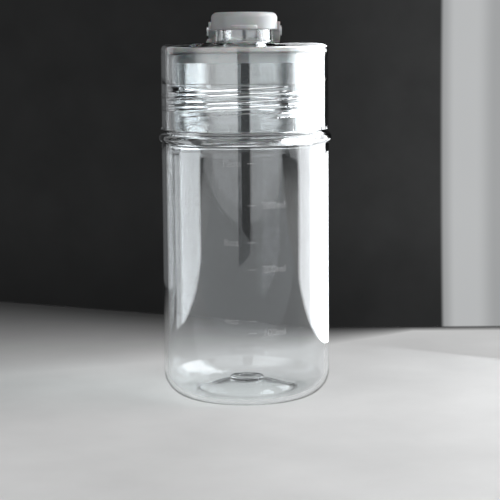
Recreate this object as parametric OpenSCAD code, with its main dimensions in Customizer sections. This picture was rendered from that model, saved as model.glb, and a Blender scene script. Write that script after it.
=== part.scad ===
// Clear protein shaker bottle: a cup with a raised base and a two-start thread on its neck,
// and a screw lid that carries a spout, a flip cap, a carry loop and a mixing grid.
// Millimetres. The cup stands on z = 0, its axis is Z and its front, with the scale, faces -Y.

/* [Cup] */
// Outer diameter of the cup's wall
cup_d = 73; // [71:0.5:76]
// Thickness of the cup's wall
wall_t = 2; // [1.6:0.1:2.2]
// Height of the middle of the bead under the lid
bead_z = 113.6; // [90:0.1:140]
// Radius of the rounded corner round the foot
foot_r = 11; // [9:0.5:12]
// Height of the raised middle of the base, inside the cup
punt_z = 6.9; // [5:0.1:8]

/* [Neck and thread] */
// Outer diameter of the neck
neck_d = 65.8; // [65:0.1:66]
// Height of the neck's rim above the middle of the bead
neck_rise = 36.4; // [34:0.1:40]
// Distance from one thread ridge to the next, up the neck
thread_pitch = 5.4; // [5:0.1:5.6]
// Angle covered by one straight piece of a thread ridge
thread_step = 6; // [5:1:12]

/* [Lid] */
// Outer diameter of the lid's skirt
lid_d = 72.6; // [71.8:0.1:73]
// Number of small ribs round the skirt's foot
foot_ribs = 24; // [12:1:36]
// Diameter of the spout's bore
spout_bore_d = 19; // [16:0.5:20]
// Height of the spout above the lid's deck
spout_h = 9.1; // [8.5:0.1:9.5]
// Distance from the cup's axis forward to the spout's axis
spout_forward = 16.5; // [15.5:0.5:17]

/* [Hinge, cap and loop] */
// Diameter of the steel hinge pin
pin_d = 2.5; // [2:0.1:3]
// Distance from the cup's axis back to the hinge pin
hinge_back = 9; // [8.5:0.5:10]
// Opening angle at which the cap's heel meets the deck
cap_open_deg = 120; // [110:5:130]
// Reach of the carry loop behind the hinge pin
loop_reach = 27.6; // [24:0.1:28]

/* [Mixing grid] */
// Number of rings in the grid
grid_rings = 5; // [3:1:6]
// Number of spokes in the grid
grid_spokes = 12; // [8:1:16]

/* [Hidden] */
$fn = 96;
eps = 0.01;

// Cup
cup_r = cup_d / 2;
bore_r = cup_r - wall_t;
bead_r = cup_r + 1.1;
bead_round_r = 2.6;
shoulder_z = bead_z + bead_round_r;
floor_z = 2.2;
inner_foot_r = foot_r - wall_t;
punt_r = 22.5;
punt_under_r = 20.3;
nub_r = 7.6;
nub_h = 1.2;
dimple_r = 3.6;
dimple_h = 0.5;

// Neck
neck_r = neck_d / 2;
neck_bore_r = neck_r - wall_t;
rim_z = bead_z + neck_rise;
inner_shoulder_z = bead_z - 1.6;

// Thread, on both the neck and the skirt
thread_starts = 2;
thread_lead = thread_starts * thread_pitch;
thread_depth = 1.3;
thread_root_w = 3.2;
thread_crest_w = 1.2;
thread_bite = 0.5;
neck_thread = [-150, bead_z + 10.4, 1.02, 40, 30];
lid_thread = [-83.5, bead_z + 9.95, 1.076, 40, 6];

// Lid
lid_r = lid_d / 2;
skirt_foot_z = bead_z + 3.2;
skirt_bore_r = neck_r + 1.7;
skirt_step_z = bead_z + 23.4;
seal_bore_r = skirt_bore_r - 0.6;
deck_under_z = rim_z + 2.2;
deck_t = 2.2;
deck_z = deck_under_z + deck_t;
lid_round_r = 3;
rib_r = 0.35;
rib_h = 1.5;
socket_r = neck_bore_r - 1.3;
socket_t = 1.2;
socket_foot_z = rim_z - 2.5;
spout_r = spout_bore_d / 2 + 2;
spout_y = -spout_forward;
spout_top_z = deck_z + spout_h;
vent_pos = [-15, 1];
vent_stem_r = 1.1;
vent_hole_r = 0.6;
vent_ring_r = 2.2;

// Hinge
pin_r = pin_d / 2;
pin_play = 0.08;
hinge_y = hinge_back;
hinge_h = 5.2;
hinge_z = deck_z + hinge_h;
knuckle_r = 3.8;
heel_reach = hinge_h - 0.1;
cap_arm_w = 16;
side_play = 0.3;
ear_x = cap_arm_w / 2 + side_play;
ear_t = 4;
eye_x = ear_x + ear_t + side_play;
eye_t = 3;
pin_head_x = eye_x + eye_t + 0.1;
pin_head_r = 2.2;
pin_head_t = 0.7;

// Flip cap and its seal
cap_r = 14;
cap_bore_r = spout_r + 0.5;
cap_foot_z = hinge_z + 0.1;
cap_top_z = hinge_z + 7.4;
cap_round_r = 2.5;
seal_t = 1;
seal_z = spout_top_z + 0.1;
plug_r = spout_bore_d / 2 - 0.3;
plug_h = 2.6;
tab_w = 11;
tab_t = 1.8;
tab_front_y = -34.2;

// Carry loop
loop_w = 2 * (eye_x + eye_t);
loop_band_t = 3.2;
loop_band_h = 4.4;
loop_gap = 0.2;

// Grid
grid_r = neck_bore_r - 0.3;
grid_ring_t = 0.8;
grid_foot_z = rim_z - 4.2;
grid_web_t = 1.5;
grid_bar_t = 1.6;
grid_top_z = rim_z + 1.4;

// Scale on the cup's front, with heights above the floor of the cup
scale_deg = -86;
tick_w = 3.4;
tick_h = 0.4;
tick_t = 0.12;
ml_first_z = 33;
ml_step = 26.9;
oz_first_z = 38.2;
oz_step = 33.1;

// A rectangle from its lower left corner to its upper right one
module block(low, high) {
    translate(low) square([high.x - low.x, high.y - low.y]);
}

// The outline of a low dome that rises by h from a height z at the radius base_r
module dome(base_r, z, h) {
    ball_r = (base_r * base_r + h * h) / (2 * h);
    intersection() {
        translate([0, z + h - ball_r]) circle(ball_r);
        block([0, z - 1], [base_r, z + h]);
    }
}

// A straight tube about Z
module tube(outer_r, inner_r, low, high) {
    translate([0, 0, low]) difference() {
        cylinder(r = outer_r, h = high - low);
        translate([0, 0, -1]) cylinder(r = inner_r, h = high - low + 2);
    }
}

// A plate across X, from x to x + t, whose outline is drawn with Y to the right and Z up
module side_plate(x, t) {
    translate([x, 0, 0]) rotate([90, 0, 90]) linear_extrude(t) children();
}

// A round bar along X through the hinge's axis
module hinge_bar(r, x, length) {
    translate([x, hinge_y, hinge_z]) rotate([0, 90, 0]) cylinder(r = r, h = length);
}

// One thread ridge: a trapezoid swept up a helix, which fades out at both of its ends.
// way is 1 for a ridge that stands out of the neck, and -1 for one that stands into the skirt.
module ridge(root_r, way, start_deg, start_z, turns, fade_in, fade_out) {
    arc = turns * 360;
    steps = ceil(arc / thread_step);
    shape = way > 0 ? [3, 2, 1, 0] : [0, 1, 2, 3];
    points = [
        for (i = [0:steps])
            let (
                turned = arc * i / steps,
                k = max(0.06, min(1, turned / fade_in, (arc - turned) / fade_out)),
                z = start_z + thread_lead * turned / 360,
                a = start_deg + turned,
                root = root_r - way * thread_bite,
                crest = root_r + way * thread_depth * k,
                corners = [[root, -thread_root_w / 2], [crest, -thread_crest_w / 2],
                           [crest, thread_crest_w / 2], [root, thread_root_w / 2]]
            )
            for (n = shape)
                [corners[n][0] * cos(a), corners[n][0] * sin(a), z + corners[n][1]]
    ];
    sides = [
        for (i = [0:steps - 1], j = [0:3])
            let (a = 4 * i + j, b = 4 * i + (j + 1) % 4)
            for (face = [[a, b + 4, b], [a, a + 4, b + 4]]) face
    ];
    last = 4 * steps;
    ends = [[0, 1, 2], [0, 2, 3], [last, last + 2, last + 1], [last, last + 3, last + 2]];
    polyhedron(points, concat(sides, ends));
}

// All the starts of a thread, given as [start angle, start height, turns, fade in, fade out]
module thread(root_r, way, t) {
    for (n = [0:thread_starts - 1])
        ridge(root_r, way, t[0] + 360 * n / thread_starts, t[1], t[2], t[3], t[4]);
}

module cup_outline() {
    block([0, 0], [cup_r - foot_r, foot_r]);
    translate([cup_r - foot_r, foot_r]) circle(foot_r);
    block([0, foot_r], [cup_r, bead_z]);
    translate([bead_r - bead_round_r, bead_z]) circle(bead_round_r);
    block([0, bead_z], [bead_r - bead_round_r, shoulder_z]);
    block([0, shoulder_z - 1], [neck_r, rim_z - wall_t / 2]);
    translate([neck_r - wall_t / 2, rim_z - wall_t / 2]) circle(wall_t / 2);
}

module cup_hollow() {
    foot_x = bore_r - inner_foot_r;
    neck_in = bore_r - neck_bore_r;
    block([0, floor_z], [foot_x, floor_z + inner_foot_r]);
    translate([foot_x, floor_z + inner_foot_r]) circle(inner_foot_r);
    block([0, floor_z + inner_foot_r], [bore_r, inner_shoulder_z]);
    polygon([[0, inner_shoulder_z - 1], [bore_r, inner_shoulder_z - 1], [bore_r, inner_shoulder_z],
             [neck_bore_r, inner_shoulder_z + neck_in], [0, inner_shoulder_z + neck_in]]);
    block([0, inner_shoulder_z], [neck_bore_r, rim_z + 1]);
}

// The raised base, with a low round nub and a dimple on its middle
module punt() {
    difference() {
        union() {
            dome(punt_r, floor_z, punt_z - floor_z);
            block([0, punt_z - 1], [nub_r - nub_h / 2, punt_z + nub_h]);
            block([0, punt_z - 1], [nub_r, punt_z + nub_h / 2]);
            translate([nub_r - nub_h / 2, punt_z + nub_h / 2]) circle(nub_h / 2);
        }
        block([-1, punt_z + nub_h - dimple_h], [dimple_r, punt_z + nub_h + 1]);
    }
}

module cup() {
    color([0.93, 0.96, 0.97, 0.35]) union() {
        rotate_extrude() difference() {
            union() {
                difference() {
                    cup_outline();
                    cup_hollow();
                }
                punt();
            }
            dome(punt_under_r, 0, punt_z - wall_t);
        }
        thread(neck_r, 1, neck_thread);
    }
}

// A raised printed bar on the cup's front, at a height
module tick(z) {
    wide = tick_w / cup_r * 180 / PI;
    rotate([0, 0, scale_deg - wide / 2]) rotate_extrude(angle = wide)
        block([cup_r, z - tick_h / 2], [cup_r + tick_t, z + tick_h / 2]);
}

module scale_ticks() {
    color("white") for (n = [0:2]) {
        tick(ml_first_z + n * ml_step);
        tick(oz_first_z + n * oz_step);
    }
}

module lid_outline() {
    block([0, skirt_foot_z], [lid_r, deck_z - lid_round_r]);
    block([0, deck_z - lid_round_r], [lid_r - lid_round_r, deck_z]);
    translate([lid_r - lid_round_r, deck_z - lid_round_r]) circle(lid_round_r);
}

module lid_hollow() {
    block([0, skirt_foot_z - 1], [skirt_bore_r, skirt_step_z]);
    block([0, skirt_foot_z], [seal_bore_r, deck_under_z]);
}

// The two ears that hold the hinge pin
module ears() {
    for (side = [-1, 1])
        side_plate(side > 0 ? ear_x : -ear_x - ear_t, ear_t) {
            translate([hinge_y, hinge_z]) circle(knuckle_r);
            block([hinge_y - knuckle_r, deck_z - 1], [hinge_y + knuckle_r, hinge_z]);
        }
}

module vent_holes() {
    translate([vent_pos.x, vent_pos.y, deck_under_z - 1]) {
        cylinder(r = vent_stem_r, h = deck_t + 2);
        for (a = [45:90:315])
            rotate([0, 0, a]) translate([vent_ring_r, 0, 0]) cylinder(r = vent_hole_r, h = deck_t + 2);
    }
}

module screw_lid() {
    color([0.93, 0.96, 0.97, 0.35]) difference() {
        union() {
            rotate_extrude() difference() {
                lid_outline();
                lid_hollow();
            }
            tube(socket_r, socket_r - socket_t, socket_foot_z, deck_under_z + 1);
            translate([0, spout_y, deck_z - 1]) cylinder(r = spout_r, h = spout_h + 1);
            ears();
            for (n = [0:foot_ribs - 1])
                rotate([0, 0, scale_deg + 360 * n / foot_ribs])
                    translate([lid_r - 0.1, 0, skirt_foot_z + 0.2]) cylinder(r = rib_r, h = rib_h);
            thread(skirt_bore_r, -1, lid_thread);
        }
        translate([0, spout_y, deck_under_z - 1]) cylinder(d = spout_bore_d, h = spout_h + deck_t + 2);
        hinge_bar(pin_r, -ear_x - ear_t - 1, 2 * (ear_x + ear_t + 1));
        vent_holes();
    }
}

// A flat silicone ring with two low lips that press on the neck's rim
module lid_gasket() {
    inner_r = neck_bore_r - 0.2;
    outer_r = seal_bore_r - 0.3;
    lip_r = 0.4;
    low = rim_z + 0.6;
    color([0.95, 0.95, 0.94]) rotate_extrude() {
        block([inner_r, low], [outer_r, deck_under_z - 0.1]);
        for (r = [inner_r + 0.8, outer_r - 0.8])
            translate([r, low]) circle(lip_r);
    }
}

module mixing_grid() {
    web_top = grid_foot_z + grid_web_t;
    gap = (grid_r - grid_bar_t) / grid_rings;
    color([0.94, 0.95, 0.95]) union() {
        tube(grid_r, grid_r - grid_ring_t, grid_foot_z, grid_top_z);
        tube(grid_r, grid_r - grid_bar_t, grid_foot_z, web_top);
        for (n = [1:grid_rings - 1])
            tube(gap * n + grid_bar_t / 2, gap * n - grid_bar_t / 2, grid_foot_z, web_top);
        for (n = [0:grid_spokes - 1])
            rotate([0, 0, 360 * n / grid_spokes])
                translate([gap, -grid_bar_t / 2, grid_foot_z])
                    cube([grid_r - gap - grid_ring_t / 2, grid_bar_t, grid_web_t]);
    }
}

// An umbrella valve: a thin head under the deck, and a stem with a bulb that holds it there
module vent_valve() {
    head_r = 3.6;
    head_t = 0.7;
    bulb_r = 1.7;
    stem_r = vent_stem_r - 0.1;
    color([0.95, 0.95, 0.94]) translate([vent_pos.x, vent_pos.y, 0]) union() {
        translate([0, 0, deck_under_z - 0.1 - head_t]) cylinder(r = head_r, h = head_t);
        translate([0, 0, deck_under_z - 0.2]) cylinder(r = stem_r, h = deck_t + 1);
        translate([0, 0, deck_z + 0.1]) cylinder(r1 = bulb_r, r2 = stem_r, h = 1.6);
    }
}

module hinge_pin() {
    color("silver") union() {
        hinge_bar(pin_r, -pin_head_x - eps, 2 * (pin_head_x + eps));
        hinge_bar(pin_head_r, pin_head_x, pin_head_t);
        hinge_bar(pin_head_r, -pin_head_x - pin_head_t, pin_head_t);
    }
}

module cap_shell() {
    translate([0, spout_y, 0]) rotate_extrude() difference() {
        union() {
            block([0, cap_foot_z], [cap_r, cap_top_z - cap_round_r]);
            block([0, cap_foot_z], [cap_r - cap_round_r, cap_top_z]);
            translate([cap_r - cap_round_r, cap_top_z - cap_round_r]) circle(cap_round_r);
        }
        block([-1, cap_foot_z - 1], [cap_bore_r, seal_z + seal_t]);
    }
}

// The arm's side outline: a flat bar from the cap to the knuckle, with the heel that stops it
module arm_outline() {
    translate([hinge_y, hinge_z]) {
        circle(knuckle_r);
        rotate(150 - cap_open_deg) block([0, 0], [heel_reach, knuckle_r]);
        polygon([[0, 0.6], [-14.5, 0.6], [-14.5, 6.2], [-6, 6.2], [0, knuckle_r]]);
    }
}

module flip_cap() {
    color([0.95, 0.96, 0.96]) difference() {
        union() {
            cap_shell();
            difference() {
                side_plate(-cap_arm_w / 2, cap_arm_w) arm_outline();
                translate([0, spout_y, cap_foot_z - 1]) cylinder(r = cap_bore_r + 0.5, h = 20);
            }
            intersection() {
                translate([-tab_w / 2, tab_front_y, cap_foot_z])
                    cube([tab_w, spout_y - cap_bore_r - 0.5 - tab_front_y, tab_t]);
                translate([0, tab_front_y + 8, 0]) cylinder(r = 8, h = cap_top_z);
            }
        }
        hinge_bar(pin_r + pin_play, -cap_arm_w / 2 - 1, cap_arm_w + 2);
    }
}

// The silicone disc inside the cap, with a tapered plug that enters the spout
module spout_seal() {
    color([0.95, 0.95, 0.94]) translate([0, spout_y, 0]) rotate_extrude()
        polygon([[0, seal_z - plug_h], [plug_r - 0.9, seal_z - plug_h], [plug_r, seal_z],
                 [cap_bore_r - 0.1, seal_z], [cap_bore_r - 0.1, seal_z + seal_t], [0, seal_z + seal_t]]);
}

module loop_plan() {
    round_r = loop_w / 2;
    middle_y = hinge_y + loop_reach - round_r;
    difference() {
        union() {
            translate([0, middle_y]) circle(round_r);
            block([-round_r, hinge_y - 8], [round_r, middle_y]);
        }
        translate([0, middle_y]) circle(round_r - loop_band_t);
        block([-round_r + loop_band_t, hinge_y - 9], [round_r - loop_band_t, middle_y]);
        block([-eye_x, hinge_y - 9], [eye_x, hinge_y + 6]);
    }
}

// The loop's side outline: eyes on the pin, a heel that stops it upright, and a band that lies on the deck
module loop_side() {
    low = -hinge_h + loop_gap;
    translate([hinge_y, hinge_z]) {
        circle(knuckle_r);
        block([-heel_reach, 0], [0, knuckle_r]);
        polygon([[0, -knuckle_r], [7, low], [loop_reach + 1, low], [loop_reach + 1, low + loop_band_h],
                 [7, low + loop_band_h], [0, knuckle_r]]);
    }
}

module carry_loop() {
    color([0.95, 0.96, 0.96]) difference() {
        intersection() {
            side_plate(-loop_w / 2 - 1, loop_w + 2) loop_side();
            translate([0, 0, deck_z]) linear_extrude(12) loop_plan();
        }
        hinge_bar(pin_r + pin_play, -loop_w / 2 - 1, loop_w + 2);
    }
}

cup();
scale_ticks();
screw_lid();
lid_gasket();
mixing_grid();
vent_valve();
hinge_pin();
flip_cap();
spout_seal();
carry_loop();
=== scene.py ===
"""Looks, camera and light for a clear protein shaker bottle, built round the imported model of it."""

import math

import bmesh
import bpy
import numpy as np
from mathutils import Matrix, Vector


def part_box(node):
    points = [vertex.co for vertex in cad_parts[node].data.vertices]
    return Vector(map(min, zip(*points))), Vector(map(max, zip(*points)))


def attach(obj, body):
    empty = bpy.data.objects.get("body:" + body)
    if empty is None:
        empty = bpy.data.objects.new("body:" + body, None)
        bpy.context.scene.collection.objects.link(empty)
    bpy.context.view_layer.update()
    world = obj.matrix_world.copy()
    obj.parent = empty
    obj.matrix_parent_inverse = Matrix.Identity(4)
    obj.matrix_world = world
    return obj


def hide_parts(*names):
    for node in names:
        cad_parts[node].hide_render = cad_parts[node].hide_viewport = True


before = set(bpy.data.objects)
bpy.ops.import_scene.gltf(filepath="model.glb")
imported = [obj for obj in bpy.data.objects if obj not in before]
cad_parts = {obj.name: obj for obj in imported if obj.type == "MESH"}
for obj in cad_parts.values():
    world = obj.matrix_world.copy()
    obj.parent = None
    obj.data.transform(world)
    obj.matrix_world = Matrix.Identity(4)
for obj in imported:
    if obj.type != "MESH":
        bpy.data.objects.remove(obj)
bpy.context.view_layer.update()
scene = bpy.context.scene

MM = 0.001

# ---------------------------------------------------------------------------------------------
# Sizes, in millimetres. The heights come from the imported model, so that they follow the CAD.
# ---------------------------------------------------------------------------------------------


def extent(node):
    """A CAD node's lowest and highest corner, in millimetres."""
    low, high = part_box(node)
    return low / MM, high / MM


cup_high = extent("cup")[1]
lid_low = extent("screw_lid")[0]

WALL_R = 36.5
WALL_T = 2.0
BORE_R = WALL_R - WALL_T
FOOT_R = 11.0
RIM_Z = cup_high.z
BEAD_Z = RIM_Z - 36.4
BEAD_ROUND = 2.6
BEAD_R = WALL_R + 1.1
NECK_R = 32.9
NECK_BORE_R = NECK_R - WALL_T

THREAD_PITCH = 5.4
THREAD_STARTS = 2
THREAD_LEAD = THREAD_PITCH * THREAD_STARTS
THREAD_DEPTH = 1.3
RIDGE_FOOT_W = 2.3
RIDGE_CREST_W = 1.2

LID_R = 36.3
SKIRT_FOOT_Z = lid_low.z
SKIRT_BORE_R = NECK_R + 1.7
SKIRT_STEP_Z = BEAD_Z + 23.4
SEAL_BORE_R = SKIRT_BORE_R - 0.6
DECK_UNDER_Z = RIM_Z + 2.2
DECK_Z = DECK_UNDER_Z + 2.2
SPOUT_BORE_R = 9.5
SPOUT_R = SPOUT_BORE_R + 2
SPOUT_Y = -16.5
SPOUT_H = 9.1
HINGE_Y = 9.0
HINGE_H = 5.2
HINGE_Z = DECK_Z + HINGE_H
KNUCKLE_R = 3.8
PIN_R = 1.25
PIN_PLAY = 0.08

# Points round a big turned piece and round a small one
AROUND = 288
AROUND_SMALL = 144

# Edges over SHARP_DEG stay sharp and a bevel rounds those over BEVEL_DEG. Points nearer the axis than ON_AXIS
# are on it.
SHARP_DEG = 35
BEVEL_DEG = 40
ON_AXIS = 1e-6

# ---------------------------------------------------------------------------------------------
# Mesh tools
# ---------------------------------------------------------------------------------------------


def arc(cx, cz, r, start, end, steps):
    """Points on a circle's arc, in a profile's (radius, height) plane; angles in degrees."""
    angles = np.radians(np.linspace(start, end, steps + 1))
    return [(cx + r * math.cos(a), cz + r * math.sin(a)) for a in angles]


def circle(cx, cy, r, around):
    """Points all the way round a circle, with no repeat at the end."""
    angles = np.linspace(0, 2 * math.pi, around, endpoint=False)
    return [(cx + r * math.cos(a), cy + r * math.sin(a)) for a in angles]


def line(a, b, step):
    """Points from a to b, both included, no further apart than step."""
    n = max(1, math.ceil(math.dist(a, b) / step))
    return [(a[0] + (b[0] - a[0]) * i / n, a[1] + (b[1] - a[1]) * i / n) for i in range(n + 1)]


def without_repeats(points):
    """The points, with each that repeats the one before it left out."""
    kept = [points[0]]
    for p in points[1:]:
        if math.dist(p, kept[-1]) > 1e-4:
            kept.append(p)
    return kept


def new_object(name, verts, faces):
    """A mesh object from points in millimetres, shaded smooth but for its sharp edges."""
    mesh = bpy.data.meshes.new(name)
    mesh.from_pydata([(x * MM, y * MM, z * MM) for x, y, z in verts], [], faces)
    mesh.validate()
    made = bpy.data.objects.new(name, mesh)
    scene.collection.objects.link(made)
    finish_shading(made)
    return made


def finish_shading(obj):
    """Outward normals, smooth faces and sharp edges by angle."""
    bm = bmesh.new()
    bm.from_mesh(obj.data)
    bmesh.ops.remove_doubles(bm, verts=bm.verts, dist=0.001 * MM)
    bmesh.ops.recalc_face_normals(bm, faces=bm.faces)
    bm.to_mesh(obj.data)
    bm.free()
    obj.data.shade_smooth()
    obj.data.set_sharp_from_angle(angle=math.radians(SHARP_DEG))


def lathe(name, profile, around=AROUND, centre=(0, 0), threaded=None):
    """A solid turned about Z from a profile that starts and ends on the axis, or that closes on itself.
    threaded is (point, rows): the rows of a thread go in after the profile's point of that number."""
    verts, faces, rings = [], [], []
    for r, z in profile:
        first = len(verts)
        verts += [(*centre, z)] if r < ON_AXIS else [(*point, z) for point in circle(*centre, r, around)]
        rings.append(list(range(first, len(verts))))
    pairs = list(zip(rings, rings[1:]))
    closes_on_itself = profile[0][0] > ON_AXIS
    if closes_on_itself:
        pairs.append((rings[-1], rings[0]))
    if threaded:
        row, rows = threaded
        below, above = pairs.pop(row)
        first = len(verts)
        verts += [p for ring in rows for p in ring]
        grid = [[first + j * around + i for i in range(around)] for j in range(len(rows))]
        rising = profile[row][1] < profile[row + 1][1]
        if rising:
            pairs += [(below, grid[0]), (grid[-1], above)]
        else:
            pairs += [(below, grid[-1]), (grid[0], above)]
        faces += helix_faces(grid, around)
    for low, high in pairs:
        for i in range(around):
            j = (i + 1) % around
            if len(low) == 1:
                faces.append((low[0], high[j], high[i]))
            elif len(high) == 1:
                faces.append((low[i], low[j], high[0]))
            else:
                faces.append((low[i], low[j], high[j], high[i]))
    return new_object(name, verts, faces)


def tube_faces(n, rings):
    """Faces of a closed solid whose skin is that many rings of n points each, one after another."""
    faces = []
    for j in range(rings - 1):
        for i in range(n):
            a, b = j * n + i, j * n + (i + 1) % n
            faces.append((a, b, b + n, a + n))
    return faces + [tuple(range(n)), tuple(range(rings * n - 1, (rings - 1) * n - 1, -1))]


def bar_across(name, outline, x0, x1):
    """A closed (y, z) outline pushed along X from x0 to x1."""
    verts = [(x, y, z) for x in (x0, x1) for y, z in outline]
    return new_object(name, verts, tube_faces(len(outline), 2))


def prism(name, outline, low, high):
    """A closed (x, y) outline pushed up from low to high."""
    verts = [(x, y, z) for z in (low, high) for x, y in outline]
    return new_object(name, verts, tube_faces(len(outline), 2))


def rod(name, r, x0, x1, y, z):
    """A round bar along X."""
    return bar_across(name, circle(y, z, r, 64), x0, x1)


def pin_bore(play):
    """What is cut out for the hinge pin, with some play all round. It reaches past the ears."""
    return rod("pin_bore", PIN_R + play, -20, 20, HINGE_Y, HINGE_Z)


def columns(name, places, around):
    """Upright round columns as one mesh. Each is (x, y, rings), and its rings are (radius, height)."""
    verts, faces = [], []
    for x, y, rings in places:
        base = len(verts)
        verts += [(*point, z) for r, z in rings for point in circle(x, y, r, around)]
        faces += [tuple(base + k for k in face) for face in tube_faces(around, len(rings))]
    return new_object(name, verts, faces)


def boolean(base, tool, operation):
    """base becomes base combined with tool, and tool is removed."""
    mod = base.modifiers.new("combine", "BOOLEAN")
    mod.operation = operation
    mod.object = tool
    mod.solver = "EXACT"
    apply_modifiers(base)
    bpy.data.objects.remove(tool)
    return base


def apply_modifiers(obj):
    """Makes an object's modifiers part of its mesh."""
    bpy.context.view_layer.update()
    shaped = obj.evaluated_get(bpy.context.evaluated_depsgraph_get())
    mesh = bpy.data.meshes.new_from_object(shaped)
    obj.modifiers.clear()
    obj.data = mesh


def bevel(obj, width):
    """Rounds an object's sharp edges, width in millimetres."""
    mod = obj.modifiers.new("round", "BEVEL")
    mod.width = width * MM
    mod.segments = 3
    mod.limit_method = "ANGLE"
    mod.angle_limit = math.radians(BEVEL_DEG)
    apply_modifiers(obj)
    finish_shading(obj)
    return obj


# ---------------------------------------------------------------------------------------------
# Screw thread
# ---------------------------------------------------------------------------------------------

# Heights of a pitch's rows above the middle of a ridge: close together on its flanks
RIDGE_STEPS = [-1.15, -0.87, -0.6, -0.3, 0.0, 0.3, 0.6, 0.87, 1.15, 1.6, 2.1, 2.7, 3.3, 3.8]

# Start angle in degrees, start height, turns, and degrees over which the ridge fades in and out
NECK_THREAD = (-150, BEAD_Z + 10.4, 1.02, 40, 30)
LID_THREAD = (-83.5, BEAD_Z + 9.95, 1.076, 40, 6)


def smooth(x):
    """0 below 0, 1 above 1 and a smooth ramp between."""
    x = np.clip(x, 0, 1)
    return x * x * (3 - 2 * x)


def thread_rows(radius, way, low, high, thread):
    """Rings of points between two heights, whose rows climb with a two-start thread. way is 1 for ridges that
    stand out and -1 for ridges that stand in. thread is NECK_THREAD or LID_THREAD. Each row keeps its place
    on the ridge's section, and rows past either height lie on it."""
    start_deg, start_z, turns, fade_in, fade_out = thread
    angles = np.linspace(0, 360, AROUND, endpoint=False)
    arc_deg = turns * 360
    climb = (angles * THREAD_STARTS / 360 % 1) * THREAD_PITCH
    at_zero = (start_z - start_deg * THREAD_LEAD / 360) % THREAD_PITCH
    first = math.floor((low - at_zero) / THREAD_PITCH) - 1
    last = math.ceil((high - at_zero) / THREAD_PITCH)
    rows = []
    for pitch in range(first, last + 1):
        for step in RIDGE_STEPS:
            z = np.clip(at_zero + pitch * THREAD_PITCH + step + climb, low, high)
            stands = np.zeros(AROUND)
            for n in range(THREAD_STARTS):
                turned = (angles - start_deg - 360 * n / THREAD_STARTS) % 360
                for t in (turned, turned + 360):
                    inside = (t >= 0) & (t <= arc_deg)
                    fade = smooth(np.minimum(t / fade_in, (arc_deg - t) / fade_out))
                    off = np.abs(z - start_z - THREAD_LEAD * t / 360)
                    slope = (RIDGE_FOOT_W / 2 - off) / ((RIDGE_FOOT_W - RIDGE_CREST_W) / 2)
                    stands = np.maximum(stands, inside * fade * np.clip(slope, 0, 1))
            r = radius + way * THREAD_DEPTH * stands
            around = np.radians(angles)
            rows.append([tuple(p) for p in zip(r * np.cos(around), r * np.sin(around), z)])
    return rows


def helix_faces(grid, around):
    """Faces between rows that climb one pitch in each start's share of a turn and then step back down."""
    share = around // THREAD_STARTS
    faces = []
    for j in range(len(grid) - 1):
        for i in range(around):
            k = (i + 1) % around
            lift = len(RIDGE_STEPS) if k % share == 0 else 0
            low, high = min(j + lift, len(grid) - 1), min(j + 1 + lift, len(grid) - 1)
            faces.append((grid[j][i], grid[low][k], grid[high][k], grid[j + 1][i]))
    return faces


# ---------------------------------------------------------------------------------------------
# Cup
# ---------------------------------------------------------------------------------------------


def dome(r0, r1, base_r, base_z, rise, steps):
    """Points from radius r0 to r1 on a low dome that rises from a flat at base_r, with a soft foot."""
    ball_r = (base_r**2 + rise**2) / (2 * rise)
    foot = 0.5
    points = []
    for r in np.linspace(r0, r1, steps + 1):
        h = rise - ball_r + math.sqrt(ball_r**2 - r**2)
        points.append((r, base_z + (h + math.hypot(h, foot)) / 2))
    return points


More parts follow.
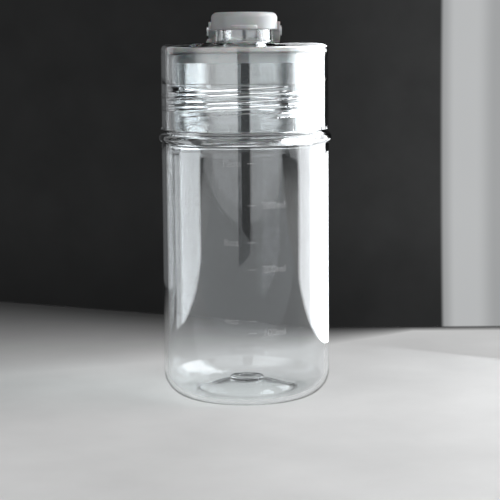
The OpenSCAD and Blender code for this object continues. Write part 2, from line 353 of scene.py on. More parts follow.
def make_cup():
    """The cup as one closed skin: under the base, up the outside, over the rim and down the inside."""
    punt_r, punt_under_r, punt_z, floor_z = 22.5, 20.3, 6.9, 2.2
    nub_r, nub_top, nub_round = 7.6, 8.1, 0.8
    dimple_r, dimple_h, dimple_round = 3.6, 0.5, 0.3
    foot_x = WALL_R - FOOT_R
    inner_foot_r = FOOT_R - WALL_T
    bead_c = BEAD_R - BEAD_ROUND
    shoulder_z = BEAD_Z + BEAD_ROUND
    bead_meets_wall = -math.degrees(math.acos((WALL_R - bead_c) / BEAD_ROUND))
    bead_foot_z = BEAD_Z + BEAD_ROUND * math.sin(math.radians(bead_meets_wall))
    bead_crease = 0.3
    groove_r = 0.6
    thread_room = 1.5
    inner_shoulder_z = BEAD_Z - 1.6
    inner_cone_h = 3.6
    nub_fillet = 0.4
    tip = WALL_T / 2
    slope = dome(punt_r + 2, nub_r + 0.6, punt_r, floor_z, punt_z - floor_z, 30)
    outside = (
        dome(0, foot_x - 1.5, punt_under_r, 0, punt_z - WALL_T, 32)
        + arc(foot_x, FOOT_R, FOOT_R, -90, 0, 32)
        + line((WALL_R, FOOT_R), (WALL_R, bead_foot_z - bead_crease), 6)
        + arc(bead_c, BEAD_Z, BEAD_ROUND, bead_meets_wall, 90, 26)
        + line((bead_c - 0.4, shoulder_z), (NECK_R + groove_r, shoulder_z), 0.5)
        + arc(NECK_R + groove_r, shoulder_z + groove_r, groove_r, 270, 180, 5)
        + [(NECK_R, shoulder_z + 1)]
    )
    outside = without_repeats(outside)
    rows = thread_rows(NECK_R, 1, shoulder_z + thread_room, RIM_Z - 2, NECK_THREAD)
    inside = (
        arc(NECK_R - tip, RIM_Z - tip, tip, 0, 180, 12)
        + line((NECK_BORE_R, RIM_Z - tip), (NECK_BORE_R, inner_shoulder_z + inner_cone_h + 1), 5)
        + [(NECK_BORE_R + 0.25, inner_shoulder_z + inner_cone_h - 0.5)]
        + [(BORE_R - 0.4, inner_shoulder_z + 0.9)]
        + line((BORE_R, inner_shoulder_z), (BORE_R, floor_z + inner_foot_r), 6)
        + arc(BORE_R - inner_foot_r, floor_z + inner_foot_r, inner_foot_r, 0, -90, 28)
        + slope
        + arc(nub_r + nub_fillet, slope[-1][1] + 0.45, nub_fillet, 260, 190, 3)
        + arc(nub_r - nub_round, nub_top - nub_round, nub_round, 0, 90, 8)
        + arc(dimple_r + dimple_round, nub_top - dimple_round, dimple_round, 90, 180, 3)
        + [(dimple_r - dimple_round, nub_top - dimple_h + 0.02)]
        + [(0, nub_top - dimple_h)]
    )
    return lathe("cup_shell", outside + without_repeats(inside), threaded=(len(outside) - 1, rows))


# ---------------------------------------------------------------------------------------------
# Screw lid
# ---------------------------------------------------------------------------------------------


def make_lid():
    """The lid's shell with its thread, and then the spout, ears and ribs joined on and the bores cut."""
    top_r = 3.0
    foot_r = (LID_R - SKIRT_BORE_R) / 2
    socket_r = NECK_BORE_R - 1.3
    socket_tip = 0.6
    socket_bore_r = socket_r - 2 * socket_tip
    socket_foot = RIM_Z - 2.5
    edge, small_edge = 0.4, 0.1
    middle = 3
    inside = (
        [(0, DECK_UNDER_Z)]
        + line((middle, DECK_UNDER_Z), (socket_bore_r, DECK_UNDER_Z), 4)
        + line((socket_bore_r, DECK_UNDER_Z), (socket_bore_r, socket_foot + edge), 2)
        + arc(socket_r - socket_tip, socket_foot + socket_tip, socket_tip, 180, 360, 8)
        + line((socket_r, socket_foot + socket_tip), (socket_r, DECK_UNDER_Z), 2)
        + line((socket_r, DECK_UNDER_Z), (SEAL_BORE_R - edge, DECK_UNDER_Z), 1.5)
        + arc(SEAL_BORE_R - edge, DECK_UNDER_Z - edge, edge, 90, 0, 3)
        + line((SEAL_BORE_R, DECK_UNDER_Z - edge), (SEAL_BORE_R, SKIRT_STEP_Z + 0.3), 4)
        + [(SEAL_BORE_R + small_edge, SKIRT_STEP_Z)]
        + [(SKIRT_BORE_R - small_edge, SKIRT_STEP_Z), (SKIRT_BORE_R, SKIRT_STEP_Z - small_edge)]
    )
    inside = without_repeats(inside)
    rows = thread_rows(SKIRT_BORE_R, -1, SKIRT_FOOT_Z + 0.9, SKIRT_STEP_Z - 0.2, LID_THREAD)
    outside = (
        arc((SKIRT_BORE_R + LID_R) / 2, SKIRT_FOOT_Z + foot_r, foot_r, 180, 360, 10)
        + line((LID_R, SKIRT_FOOT_Z + foot_r), (LID_R, DECK_Z - top_r), 4)
        + arc(LID_R - top_r, DECK_Z - top_r, top_r, 0, 90, 14)
        + line((LID_R - top_r, DECK_Z), (middle, DECK_Z), 4)
        + [(0, DECK_Z)]
    )
    lid = lathe("lid_shell", inside + without_repeats(outside), threaded=(len(inside) - 1, rows))
    boolean(lid, make_spout(), "UNION")
    for side in (-1, 1):
        boolean(lid, make_ear(side), "UNION")
    boolean(lid, make_ribs(), "UNION")
    boolean(lid, pin_bore(0), "DIFFERENCE")
    boolean(lid, make_spout_bore(), "DIFFERENCE")
    boolean(lid, make_vent_holes(), "DIFFERENCE")
    finish_shading(lid)
    return lid


def make_spout():
    """The spout's outside, solid for now, with a root fillet and a rounded lip."""
    top = DECK_Z + SPOUT_H
    root, fillet, lip = 1.2, 1, 0.8
    sunk_z = DECK_UNDER_Z + 1
    profile = (
        [(0, sunk_z), (SPOUT_R + root, sunk_z), (SPOUT_R + root, DECK_Z)]
        + arc(SPOUT_R + fillet, DECK_Z + fillet, fillet, 270, 180, 6)
        + line((SPOUT_R, DECK_Z + fillet), (SPOUT_R, top - lip), 2)
        + arc(SPOUT_R - lip, top - lip, lip, 0, 90, 6)
        + [(0, top)]
    )
    return lathe("spout", without_repeats(profile), around=AROUND_SMALL, centre=(0, SPOUT_Y))


def make_spout_bore():
    """What is cut out for the spout's bore, with a rounded mouth."""
    top = DECK_Z + SPOUT_H
    mouth = 0.6
    profile = (
        [(0, DECK_UNDER_Z - 1), (SPOUT_BORE_R, DECK_UNDER_Z - 1)]
        + line((SPOUT_BORE_R, DECK_UNDER_Z), (SPOUT_BORE_R, top - mouth), 2)
        + arc(SPOUT_BORE_R + mouth, top - mouth, mouth, 180, 90, 6)
        + [(SPOUT_BORE_R + mouth, top + 1), (0, top + 1)]
    )
    return lathe("spout_bore", without_repeats(profile), around=AROUND_SMALL, centre=(0, SPOUT_Y))


def make_ear(side):
    """One of the two ears that hold the hinge pin."""
    inner, outer = 8.3, 12.3
    sunk_z = DECK_UNDER_Z + 1
    head = arc(HINGE_Y, HINGE_Z, KNUCKLE_R, 0, 180, 24)
    outline = [(HINGE_Y + KNUCKLE_R, sunk_z)] + head + [(HINGE_Y - KNUCKLE_R, sunk_z)]
    x0, x1 = (inner, outer) if side > 0 else (-outer, -inner)
    return bevel(bar_across("ear", outline, x0, x1), 0.5)


def make_ribs():
    """The small upright ribs round the skirt's foot, as one mesh of rounded columns."""
    ribs, first_deg, r = 24, -86, 0.35
    ring_r = LID_R - 0.1
    low, high = SKIRT_FOOT_Z + 0.2, SKIRT_FOOT_Z + 1.7
    half = [(0.12, 0), (0.3, 0.1), (r, 0.3)]
    rings = [(q, low + h) for q, h in half] + [(q, high - h) for q, h in reversed(half)]
    places = []
    for n in range(ribs):
        turn = math.radians(first_deg + 360 * n / ribs)
        places.append((ring_r * math.cos(turn), ring_r * math.sin(turn), rings))
    return columns("ribs", places, 12)


def make_vent_holes():
    """What is cut out for the vent valve's stem and the four air holes round it."""
    vent_x, vent_y, stem_r = -15.0, 1.0, 1.1
    air_holes, air_r, air_ring_r = 4, 0.6, 2.2

    def hole(x, y, r):
        return (x, y, [(r, DECK_UNDER_Z - 1), (r, DECK_Z + 1)])

    places = [hole(vent_x, vent_y, stem_r)]
    for k in range(air_holes):
        turn = 2 * math.pi * (k + 0.5) / air_holes
        x, y = vent_x + air_ring_r * math.cos(turn), vent_y + air_ring_r * math.sin(turn)
        places.append(hole(x, y, air_r))
    return columns("vent_holes", places, 24)


# ---------------------------------------------------------------------------------------------
# Flip cap and carry loop
# ---------------------------------------------------------------------------------------------

CAP_R = 14.0
CAP_BORE_R = SPOUT_R + 0.5
CAP_FOOT_Z = HINGE_Z + 0.1
CAP_TOP_Z = HINGE_Z + 7.4
CAP_HALF_W = 8.0
LOOP_R = 15.6
LOOP_REACH = 27.6
HEEL_REACH = HINGE_H - 0.1


def about_hinge(points):
    """Points given from the hinge's axis, put where the hinge is."""
    return [(HINGE_Y + y, HINGE_Z + z) for y, z in points]


def make_cap():
    """The flip cap: a shell over the spout, an arm with a knuckle and a heel, and a thumb tab."""
    seal_top = DECK_Z + SPOUT_H + 1.1
    edge, top_round = 0.5, 2.5
    profile = (
        [(0, seal_top), (CAP_BORE_R, seal_top)]
        + line((CAP_BORE_R, seal_top - 0.5), (CAP_BORE_R, CAP_FOOT_Z + edge), 1.5)
        + arc(CAP_BORE_R + edge, CAP_FOOT_Z + edge, edge, 180, 270, 4)
        + arc(CAP_R - edge, CAP_FOOT_Z + edge, edge, 270, 360, 4)
        + line((CAP_R, CAP_FOOT_Z + edge), (CAP_R, CAP_TOP_Z - top_round), 1.5)
        + arc(CAP_R - top_round, CAP_TOP_Z - top_round, top_round, 0, 90, 12)
        + [(0, CAP_TOP_Z)]
    )
    cap = lathe("cap_shell", without_repeats(profile), around=AROUND_SMALL, centre=(0, SPOUT_Y))
    boolean(cap, make_arm(), "UNION")
    boolean(cap, make_tab(), "UNION")
    boolean(cap, pin_bore(PIN_PLAY), "DIFFERENCE")
    finish_shading(cap)
    return cap


def make_arm():
    """The cap's arm, cut off at the cap's bore. Its heel is square, HEEL_REACH from the hinge."""
    heel = math.radians(30)
    arm_low, arm_high, arm_end_y = 0.6, 6.2, -14.5
    slope_foot, slope_top = (-0.6, 4.04), (-6, arm_high)
    heel_y, heel_z = HEEL_REACH * math.cos(heel), HEEL_REACH * math.sin(heel)
    outline = [
        (heel_y, heel_z),
        (heel_y - KNUCKLE_R * math.sin(heel), heel_z + KNUCKLE_R * math.cos(heel)),
        slope_foot,
        slope_top,
        (arm_end_y, arm_high),
        (arm_end_y, arm_low),
    ] + arc(0, 0, KNUCKLE_R, 171, 390, 44)
    arm = bevel(bar_across("arm", about_hinge(outline), -CAP_HALF_W, CAP_HALF_W), 0.6)
    bore_r, low, high = CAP_BORE_R + 0.5, CAP_FOOT_Z - 2, CAP_TOP_Z + 2
    around_bore = [(0, low), (bore_r, low), (bore_r, high), (0, high)]
    bore = lathe("bore", around_bore, around=AROUND_SMALL, centre=(0, SPOUT_Y))
    return boolean(arm, bore, "DIFFERENCE")


def make_tab():
    """The thumb tab on the cap's front."""
    front_y, round_r, half_w, tab_t = -34.2, 8.0, 5.5, 1.8
    spread = math.degrees(math.asin(half_w / round_r))
    back_y = SPOUT_Y - CAP_BORE_R - 0.5
    front = arc(0, front_y + round_r, round_r, 270 - spread, 270 + spread, 24)
    outline = [(half_w, back_y), (-half_w, back_y)] + front
    return bevel(prism("tab", outline, CAP_FOOT_Z, CAP_FOOT_Z + tab_t), 0.5)


def loop_path(bend_r):
    """Points along the middle of the loop's band, from eye to eye, each with the way out of the bend."""
    start_y, middle_y = HINGE_Y + 6, HINGE_Y + LOOP_REACH - LOOP_R
    path = [(bend_r, y, 1, 0) for y in np.linspace(start_y, middle_y, 8)]
    for a in np.linspace(0, math.pi, 65)[1:-1]:
        path.append((bend_r * math.cos(a), middle_y + bend_r * math.sin(a), math.cos(a), math.sin(a)))
    return path + [(-bend_r, y, -1, 0) for y in np.linspace(middle_y, start_y, 8)]


def make_loop():
    """The carry loop: a rounded band bent into a U, with an eye and a heel at each end."""
    band_t, band_h, corner, eye_x = 3.2, 4.4, 0.8, 12.6
    low = 0.2 - HINGE_H
    half_t, half_h = band_t / 2 - corner, band_h / 2 - corner
    section = []
    for n, (u, w) in enumerate(((half_t, half_h), (-half_t, half_h), (-half_t, -half_h), (half_t, -half_h))):
        section += arc(u, w, corner, 90 * n, 90 * n + 90, 6)
    path = loop_path(LOOP_R - band_t / 2)
    middle_z = HINGE_Z + low + band_h / 2
    verts = [(x + u * out_x, y + u * out_y, middle_z + w) for x, y, out_x, out_y in path for u, w in section]
    loop = new_object("loop_band", verts, tube_faces(len(section), len(path)))
    high = low + band_h
    taper_y, end_y = 7, 9
    outline = [(0, -KNUCKLE_R), (taper_y, low), (end_y, low), (end_y, high), (taper_y, high), (0, KNUCKLE_R)]
    outline += [(-HEEL_REACH, KNUCKLE_R), (-HEEL_REACH, 0)] + arc(0, 0, KNUCKLE_R, 180, 265, 20)
    for x0, x1 in ((eye_x, LOOP_R), (-LOOP_R, -eye_x)):
        boolean(loop, bevel(bar_across("eye", about_hinge(outline), x0, x1), 0.5), "UNION")
    boolean(loop, pin_bore(PIN_PLAY), "DIFFERENCE")
    finish_shading(loop)
    return loop


# ---------------------------------------------------------------------------------------------
# Materials
# ---------------------------------------------------------------------------------------------


def material(name):
    """A new node material: (material, its nodes, its links, its Principled shader)."""
    mat = bpy.data.materials.new(name)
    mat.use_nodes = True
    return mat, mat.node_tree.nodes, mat.node_tree.links, mat.node_tree.nodes["Principled BSDF"]


def noise(nodes, links, scale, detail, stretch=(1, 1, 1)):
    """Noise in the object's own coordinates, stretched along its axes."""
    place = nodes.new("ShaderNodeTexCoord")
    shape = nodes.new("ShaderNodeMapping")
    shape.inputs["Scale"].default_value = stretch
    texture = nodes.new("ShaderNodeTexNoise")
    texture.inputs["Scale"].default_value = scale
    texture.inputs["Detail"].default_value = detail
    links.new(place.outputs["Object"], shape.inputs["Vector"])
    links.new(shape.outputs["Vector"], texture.inputs["Vector"])
    return texture


def ranged(nodes, links, source, low, high, start=0, end=1, smoothly=False):
    """A ramp, even or smooth, from low, where source is at start, to high, where it is at end."""
    node = nodes.new("ShaderNodeMapRange")
    if smoothly:
        node.interpolation_type = "SMOOTHSTEP"
    node.inputs["From Min"].default_value = start
    node.inputs["From Max"].default_value = end
    node.inputs["To Min"].default_value = low
    node.inputs["To Max"].default_value = high
    links.new(source, node.inputs["Value"])
    return node.outputs["Result"]


def eased(nodes, links, source, start, end, low, high):
    """A smooth step from low, where source is at start, to high, where it is at end."""
    return ranged(nodes, links, source, low, high, start, end, smoothly=True)


def maths(nodes, links, operation, a, b):
    """One arithmetic step on two values, each a socket or a number."""
    node = nodes.new("ShaderNodeMath")
    node.operation = operation
    for socket, value in zip(node.inputs, (a, b)):
        if isinstance(value, (int, float)):
            socket.default_value = value
        else:
            links.new(value, socket)
    return node.outputs["Value"]


def mixed(nodes, links, factor, first, second):
    """A mix of two shaders, all first where factor is 0 and all second where it is 1."""
    mix = nodes.new("ShaderNodeMixShader")
    links.new(factor, mix.inputs["Fac"])
    links.new(first, mix.inputs[1])
    links.new(second, mix.inputs[2])
    return mix.outputs["Shader"]


def bump(nodes, links, source, shader, distance, strength):
    """Relief from a height value, distance in millimetres."""
    node = nodes.new("ShaderNodeBump")
    node.inputs["Distance"].default_value = distance * MM
    node.inputs["Strength"].default_value = strength
    links.new(source, node.inputs["Height"])
    links.new(node.outputs["Normal"], shader.inputs["Normal"])


def clear_plastic(name):
    """Clear moulded copolyester: faint flow lines up the wall, a polish that varies a little, and a faint
    shadow, so that lamps light what stands behind it."""
    mat, nodes, links, shader = material(name)
    shader.inputs["Base Color"].default_value = (0.97, 0.985, 0.99, 1)
    shader.inputs["IOR"].default_value = 1.52
    shader.inputs["Transmission Weight"].default_value = 1.0
    polish = noise(nodes, links, scale=60, detail=3)
    links.new(ranged(nodes, links, polish.outputs["Fac"], 0.0, 0.04), shader.inputs["Roughness"])
    flow = noise(nodes, links, scale=60, detail=1, stretch=(1, 1, 0.04))
    bump(nodes, links, flow.outputs["Fac"], shader, distance=0.02, strength=0.1)
    shadow_ray = nodes.new("ShaderNodeLightPath").outputs["Is Shadow Ray"]
    shadow = nodes.new("ShaderNodeBsdfTransparent")
    shadow.inputs["Color"].default_value = (0.95, 0.96, 0.96, 1)
    either = mixed(nodes, links, shadow_ray, shader.outputs["BSDF"], shadow.outputs["BSDF"])
    links.new(either, nodes["Material Output"].inputs["Surface"])
    return mat


def frosted_plastic(name):
    """Natural polypropylene: milky, with light in its body and a fine spark-eroded grain."""
    mat, nodes, links, shader = material(name)
    shader.inputs["Base Color"].default_value = (0.86, 0.88, 0.89, 1)
    shader.inputs["IOR"].default_value = 1.49
    shader.inputs["Transmission Weight"].default_value = 0.6
    shader.inputs["Subsurface Weight"].default_value = 0.3
    shader.inputs["Subsurface Scale"].default_value = 0.003
    grain = noise(nodes, links, scale=2500, detail=2)
    links.new(ranged(nodes, links, grain.outputs["Fac"], 0.28, 0.42), shader.inputs["Roughness"])
    bump(nodes, links, grain.outputs["Fac"], shader, distance=0.02, strength=0.4)
    return mat


def silicone(name):
    """Translucent silicone, matt with a soft sheen."""
    mat, nodes, links, shader = material(name)
    shader.inputs["Base Color"].default_value = (0.86, 0.87, 0.86, 1)
    shader.inputs["IOR"].default_value = 1.41
    shader.inputs["Transmission Weight"].default_value = 0.35
    shader.inputs["Subsurface Weight"].default_value = 0.5
    shader.inputs["Subsurface Scale"].default_value = 0.002
    skin = noise(nodes, links, scale=900, detail=3)
    links.new(ranged(nodes, links, skin.outputs["Fac"], 0.42, 0.6), shader.inputs["Roughness"])
    bump(nodes, links, skin.outputs["Fac"], shader, distance=0.03, strength=0.3)
    return mat


def turned_steel(name):
    """Turned stainless steel, with fine rings round the pin's axis, which is X."""
    mat, nodes, links, shader = material(name)
    shader.inputs["Base Color"].default_value = (0.62, 0.62, 0.63, 1)
    shader.inputs["Metallic"].default_value = 1.0
    rings = noise(nodes, links, scale=1500, detail=2, stretch=(1, 0.05, 0.05))
    links.new(ranged(nodes, links, rings.outputs["Fac"], 0.18, 0.38), shader.inputs["Roughness"])
    bump(nodes, links, rings.outputs["Fac"], shader, distance=0.01, strength=0.4)
    return mat


def scale_ink(name):
    """The pale, half see-through marks of the scale, a little uneven as print is."""
    mat, nodes, links, shader = material(name)
    worn = noise(nodes, links, scale=1800, detail=3)
    links.new(ranged(nodes, links, worn.outputs["Fac"], 0.15, 0.3), shader.inputs["Alpha"])
    shader.inputs["Base Color"].default_value = (0.85, 0.86, 0.87, 1)
    shader.inputs["Roughness"].default_value = 0.5
    return mat


def wear(obj, mat):
    """Gives an object one material."""
    obj.data.materials.clear()
    obj.data.materials.append(mat)


clear = clear_plastic("clear_copolyester")
clear_lid = clear_plastic("clear_copolyester_lid")
frosted = frosted_plastic("frosted_polypropylene")
soft = silicone("clear_silicone")
steel = turned_steel("turned_steel")
ink = scale_ink("scale_ink")

# ---------------------------------------------------------------------------------------------
# Pieces
# ---------------------------------------------------------------------------------------------

cup = make_cup()
wear(cup, clear)
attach(cup, "cup")
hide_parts("cup")

lid = make_lid()
wear(lid, clear_lid)
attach(lid, "lid")
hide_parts("screw_lid")

cap = make_cap()
wear(cap, frosted)
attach(cap, "cap")
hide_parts("flip_cap")

loop = make_loop()
wear(loop, frosted)
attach(loop, "loop")
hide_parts("carry_loop")

for node, mat in {
    "scale_ticks": ink,
    "lid_gasket": soft,
    "mixing_grid": frosted,
    "vent_valve": soft,
    "hinge_pin": steel,
    "spout_seal": soft,
}.items():
    wear(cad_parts[node], mat)

# ---------------------------------------------------------------------------------------------
# Scale numbers
# ---------------------------------------------------------------------------------------------

# The lettering's height and half its thickness, how far its middle stands off the wall, and the share of the
# font size that a capital takes
NUMBER_H = 3.0
NUMBER_HALF_T = 0.04
NUMBER_GAP = 0.05
CAPITAL_SHARE = 0.7

# Each scale's first height and step, and how far round from the front it stands
ML_FIRST_Z, ML_STEP, ML_TURN_DEG = 33.0, 26.9, 19
OZ_FIRST_Z, OZ_STEP, OZ_TURN_DEG = 38.2, 33.1, -9.5


def make_number(text, z, turn_deg):
    """A line of raised lettering at height z, wrapped round the cup's front and centred turn_deg from -Y."""
    curve = bpy.data.curves.new("number", "FONT")
    curve.body = text
    curve.size = NUMBER_H / CAPITAL_SHARE * MM
    curve.align_x = "CENTER"
    curve.align_y = "CENTER"
    curve.resolution_u = 6
    curve.extrude = NUMBER_HALF_T * MM
    flat = bpy.data.objects.new("number", curve)
    scene.collection.objects.link(flat)
    bpy.context.view_layer.update()
    mesh = bpy.data.meshes.new_from_object(flat.evaluated_get(bpy.context.evaluated_depsgraph_get()))
    bpy.data.objects.remove(flat)
    radius = (WALL_R + NUMBER_GAP) * MM
    for v in mesh.vertices:
        turn = v.co.x / radius + math.radians(turn_deg - 90)
        out = radius + v.co.z
        v.co = Vector((out * math.cos(turn), out * math.sin(turn), v.co.y + z * MM))
    made = bpy.data.objects.new("scale_" + text, mesh)
    scene.collection.objects.link(made)
    wear(made, ink)
    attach(made, "cup")


for n in range(3):
    make_number(f"{100 * (n + 1)}ml", ML_FIRST_Z + n * ML_STEP, ML_TURN_DEG)
    make_number(f"{4 * (n + 1)}oz", OZ_FIRST_Z + n * OZ_STEP, OZ_TURN_DEG)

# ---------------------------------------------------------------------------------------------
# Stage
# ---------------------------------------------------------------------------------------------

DARK_WALL = 0.017


def stage_face(name, corners, mat):
    """One flat four-cornered face of the stage, in millimetres."""
    mesh = bpy.data.meshes.new(name)
    mesh.from_pydata([Vector(c) * MM for c in corners], [], [(0, 1, 2, 3)])
    made = bpy.data.objects.new(name, mesh)
    scene.collection.objects.link(made)
    made.data.materials.append(mat)
    return made


def clamped(nodes, links, value, low, high):
    """A value kept between low and high."""
    return maths(nodes, links, "MINIMUM", maths(nodes, links, "MAXIMUM", value, low), high)


# The table's two far ends, in metres: one aslant on the left and one square behind the bottle
SLANT_DEG, SLANT_END, BACK_END = 27.5, 0.172, 0.170
END_BLUR = 0.004

# The painted shade before those ends, in metres: its width behind the bottle, how that falls to the right,
# its limits
SHADE_WIDTH, SHADE_FALL = 0.09, 0.85
SHADE_LEAST, SHADE_MOST = 0.014, 0.26

# How the painted shade deepens towards the end, and the share of light that is left there
SHADE_CURVE, LEAST_LIT = 1.4, 0.04


def floor_material():
    """A pale, faintly mottled table top. It ends behind the bottle, aslant on the left and square on the
    right, and shade is painted into its colour before that end: widely on the left and hardly at all on the
    right."""
    mat, nodes, links, shader = material("floor")
    place = nodes.new("ShaderNodeTexCoord").outputs["Object"]
    axes = nodes.new("ShaderNodeSeparateXYZ")
    links.new(place, axes.inputs["Vector"])
    aslant = nodes.new("ShaderNodeMapping")
    aslant.inputs["Rotation"].default_value = (0, 0, math.radians(SLANT_DEG))
    links.new(place, aslant.inputs["Vector"])
    slant_axes = nodes.new("ShaderNodeSeparateXYZ")
    links.new(aslant.outputs["Vector"], slant_axes.inputs["Vector"])
    before_slant = maths(nodes, links, "SUBTRACT", SLANT_END, slant_axes.outputs["Y"])
    before_back = maths(nodes, links, "SUBTRACT", BACK_END, axes.outputs["Y"])
    before = maths(nodes, links, "MAXIMUM", before_slant, before_back)

    # Painted shade: a ramp by distance from the table's end, put into the table's colour below
    fall = maths(nodes, links, "MULTIPLY", axes.outputs["X"], SHADE_FALL)
    shade_width = maths(nodes, links, "SUBTRACT", SHADE_WIDTH, fall)
    shade_width = clamped(nodes, links, shade_width, SHADE_LEAST, SHADE_MOST)
    lit = clamped(nodes, links, maths(nodes, links, "DIVIDE", before, shade_width), 0.0, 1.0)
    lit = maths(nodes, links, "POWER", lit, SHADE_CURVE)
    lit = maths(nodes, links, "MULTIPLY", lit, 1 - LEAST_LIT)
    lit = maths(nodes, links, "ADD", lit, LEAST_LIT)

    mottle = noise(nodes, links, scale=14, detail=6).outputs["Fac"]
    tone = ranged(nodes, links, mottle, 0.60, 0.70, 0.3, 0.7)
    # The painted shade darkens the table's colour towards its far end
    links.new(maths(nodes, links, "MULTIPLY", tone, lit), shader.inputs["Base Color"])
    shader.inputs["Roughness"].default_value = 0.75
    shader.inputs["Specular IOR Level"].default_value = 0.2
    bump(nodes, links, mottle, shader, distance=0.5, strength=0.1)

    beyond = nodes.new("ShaderNodeBsdfTransparent").outputs["BSDF"]
    there = eased(nodes, links, before, -END_BLUR, END_BLUR, 0, 1)
    either = mixed(nodes, links, there, beyond, shader.outputs["BSDF"])
    links.new(either, nodes["Material Output"].inputs["Surface"])
    return mat


def seen_in_reflections(nodes, links):
    """1 for a ray that a glossy surface has reflected on its way and no matt one has, otherwise 0."""
    path = nodes.new("ShaderNodeLightPath")
    reflected = maths(nodes, links, "GREATER_THAN", path.outputs["Glossy Depth"], 0.5)
    direct = maths(nodes, links, "LESS_THAN", path.outputs["Diffuse Depth"], 0.5)
    return maths(nodes, links, "MULTIPLY", reflected, direct)


CARD_COLOUR = (0.95, 0.975, 1.0, 1)


def card_material(name, strength):
    """A studio card that only shows in reflections, and only from its front."""
    mat = bpy.data.materials.new(name)
    mat.use_nodes = True
    nodes, links = mat.node_tree.nodes, mat.node_tree.links
    nodes.clear()
    out = nodes.new("ShaderNodeOutputMaterial")
    clear_through = nodes.new("ShaderNodeBsdfTransparent")
    glow = nodes.new("ShaderNodeEmission")
    glow.inputs["Color"].default_value = CARD_COLOUR
    glow.inputs["Strength"].default_value = strength
    front = maths(nodes, links, "SUBTRACT", 1, nodes.new("ShaderNodeNewGeometry").outputs["Backfacing"])
    shows = maths(nodes, links, "MULTIPLY", front, seen_in_reflections(nodes, links))
    either = mixed(nodes, links, shows, clear_through.outputs["BSDF"], glow.outputs["Emission"])
    links.new(either, out.inputs["Surface"])
    mat.cycles.emission_sampling = "NONE"
    return mat


def card(name, corners, strength):
    """A card between four corners in millimetres, given anticlockwise as seen from the bottle."""
    made = stage_face(name, corners, card_material(name, strength))
    made.visible_camera = False
    made.visible_diffuse = False
    made.visible_shadow = False


def upright_card(name, left, right, low, high, strength):
    """A card that stands between two points of the floor, left and right as seen from the bottle."""
    card(name, [(*left, low), (*right, low), (*right, high), (*left, high)], strength)


def area_light(name, place, target, size, power, in_gloss=False):
    """A rectangular soft light, in metres and watts. It isn't seen itself, but in_gloss lets glossy surfaces
    reflect it."""
    data = bpy.data.lights.new(name, "AREA")
    data.shape = "RECTANGLE"
    data.size, data.size_y = size
    data.energy = power
    made = bpy.data.objects.new(name, data)
    scene.collection.objects.link(made)
    made.location = place
    made.rotation_euler = (Vector(target) - Vector(place)).to_track_quat("-Z", "Y").to_euler()
    made.visible_camera = False
    made.visible_glossy = in_gloss
    made.visible_transmission = False


FLOOR_HALF = 4000
stage_face(
    "floor",
    [(x * FLOOR_HALF, y * FLOOR_HALF, 0) for x, y in ((-1, -1), (1, -1), (1, 1), (-1, 1))],
    floor_material(),
)

# The window on the right, in four parts
upright_card("window", (108, 87), (388, -98), 2, 520, 7.0)
upright_card("window_end", (70, 113), (108, 87), 2, 100, 3.0)
upright_card("window_end_top", (70, 113), (108, 87), 165, 520, 5.0)
upright_card("window_top", (388, -98), (845, -402), 75, 700, 2.6)

# The wall on the left, a dark gap in front of the bottle, and the room's floor from far to near
upright_card("left_wall", (-317, 148), (-246, 226), 2, 520, 0.65)
upright_card("left_wall_end", (-246, 226), (-120, 340), 2, 520, 0.1)
card("dark_flag", [(45, -440, 16), (-74, -440, 6), (-74, -440, 700), (70, -440, 700)], 0.15)
card("far_room", [(-4900, -4000, 3), (0, -4000, 3), (0, -1800, 3), (-2800, -1800, 3)], 2.3)
card("front_room", [(-4900, -4000, 2), (4900, -4000, 2), (930, -760, 2), (-1250, -760, 2)], 1.45)
card("front_floor", [(-1250, -760, 2), (930, -760, 2), (360, -60, 2), (-360, -60, 2)], 0.88)

LIT_SPOT = (0, 0, 0.05)
WINDOW_PLACE, WINDOW_SIZE = (0.9, -0.2, 0.8), (0.8, 0.6)
area_light("window_light", WINDOW_PLACE, LIT_SPOT, WINDOW_SIZE, 11.2)
area_light("window_glint", WINDOW_PLACE, LIT_SPOT, WINDOW_SIZE, 5.6, in_gloss=True)
area_light("fill", (-0.7, -0.5, 0.75), LIT_SPOT, (0.7, 0.7), 3)


def wall_and_band(nodes, links, way, right, ahead, up):
    """What the camera sees: a dark grey wall, darker at the table, with an upright pale band on its right.
    right, ahead and up are the three parts of the direction that is looked in, a vector one long."""
    wall = eased(nodes, links, right, -0.02, 0.13, DARK_WALL, 0.038)
    wall = maths(nodes, links, "MULTIPLY", wall, eased(nodes, links, up, -0.165, -0.09, 0.62, 1.0))
    grain = nodes.new("ShaderNodeTexNoise")
    grain.inputs["Scale"].default_value = 40
    grain.inputs["Detail"].default_value = 5
    links.new(way, grain.inputs["Vector"])
    wall = maths(nodes, links, "MULTIPLY", wall, ranged(nodes, links, grain.outputs["Fac"], 0.8, 1.2))

    left_edge = eased(nodes, links, right, 0.1145, 0.1175, 0, 1)
    band_tone = eased(nodes, links, right, 0.117, 0.124, 0.32, 0.46)
    right_part = eased(nodes, links, right, 0.136, 0.148, 1.0, 0.72)
    out_of_view = eased(nodes, links, right, 0.2, 0.3, 1.0, 0.05)
    in_front = eased(nodes, links, ahead, 0.5, 0.7, 0, 1)
    band = left_edge
    for part in (band_tone, right_part, out_of_view, in_front):
        band = maths(nodes, links, "MULTIPLY", band, part)
    return maths(nodes, links, "ADD", wall, band)


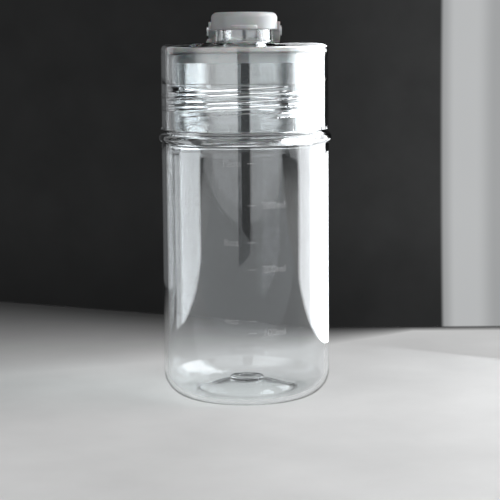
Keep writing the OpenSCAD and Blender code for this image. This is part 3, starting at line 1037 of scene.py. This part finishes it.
def bright_room(nodes, links, right, ahead, up):
    """What reflections show: a bright room in front of the bottle, brightest on its left above the table."""
    room = eased(nodes, links, ahead, -0.15, -0.55, DARK_WALL, 1.45)
    room = maths(nodes, links, "MULTIPLY", room, eased(nodes, links, right, 0.7, 0.8, 1.0, 0.1))
    brighter_left = eased(nodes, links, right, -0.3, 0.35, 0.55, -0.2)
    higher = eased(nodes, links, up, -0.08, -0.03, 0, 1)
    gain = maths(nodes, links, "ADD", maths(nodes, links, "MULTIPLY", brighter_left, higher), 1)
    return maths(nodes, links, "MULTIPLY", room, gain)


def make_world():
    """A dark wall with a pale band on its right and, in reflections, a bright room in front of the bottle."""
    world = bpy.data.worlds.new("surround")
    world.use_nodes = True
    nodes, links = world.node_tree.nodes, world.node_tree.links
    way = nodes.new("ShaderNodeTexCoord").outputs["Generated"]
    axes = nodes.new("ShaderNodeSeparateXYZ")
    links.new(way, axes.inputs["Vector"])
    right, ahead, up = (axes.outputs[name] for name in "XYZ")
    mix = nodes.new("ShaderNodeMix")
    mix.data_type = "FLOAT"
    links.new(seen_in_reflections(nodes, links), mix.inputs["Factor"])
    links.new(wall_and_band(nodes, links, way, right, ahead, up), mix.inputs["A"])
    links.new(bright_room(nodes, links, right, ahead, up), mix.inputs["B"])
    back = nodes["Background"]
    links.new(mix.outputs["Result"], back.inputs["Strength"])
    back.inputs["Color"].default_value = (0.97, 0.99, 1.0, 1)
    world.cycles.sampling_method = "NONE"
    scene.world = world


make_world()

# ---------------------------------------------------------------------------------------------
# Camera
# ---------------------------------------------------------------------------------------------

# Lens and sensor in millimetres, place in metres
CAMERA_LENS = 118.4
CAMERA_SENSOR = 36
CAMERA_PLACE = (0.00175, -0.718, 0.152)
CAMERA_PITCH_DEG = 7.0
CAMERA_ROLL_DEG = -0.44

lens = bpy.data.cameras.new("camera")
lens.lens = CAMERA_LENS
lens.sensor_width = CAMERA_SENSOR
camera = bpy.data.objects.new("camera", lens)
scene.collection.objects.link(camera)
pitch = Matrix.Rotation(math.radians(90 - CAMERA_PITCH_DEG), 4, "X")
roll = Matrix.Rotation(math.radians(CAMERA_ROLL_DEG), 4, "Z")
camera.matrix_world = Matrix.Translation(CAMERA_PLACE) @ pitch @ roll
scene.camera = camera

scene.view_settings.view_transform = "Standard"
scene.cycles.max_bounces = 24
scene.cycles.transmission_bounces = 20
scene.cycles.glossy_bounces = 8
scene.cycles.transparent_max_bounces = 12
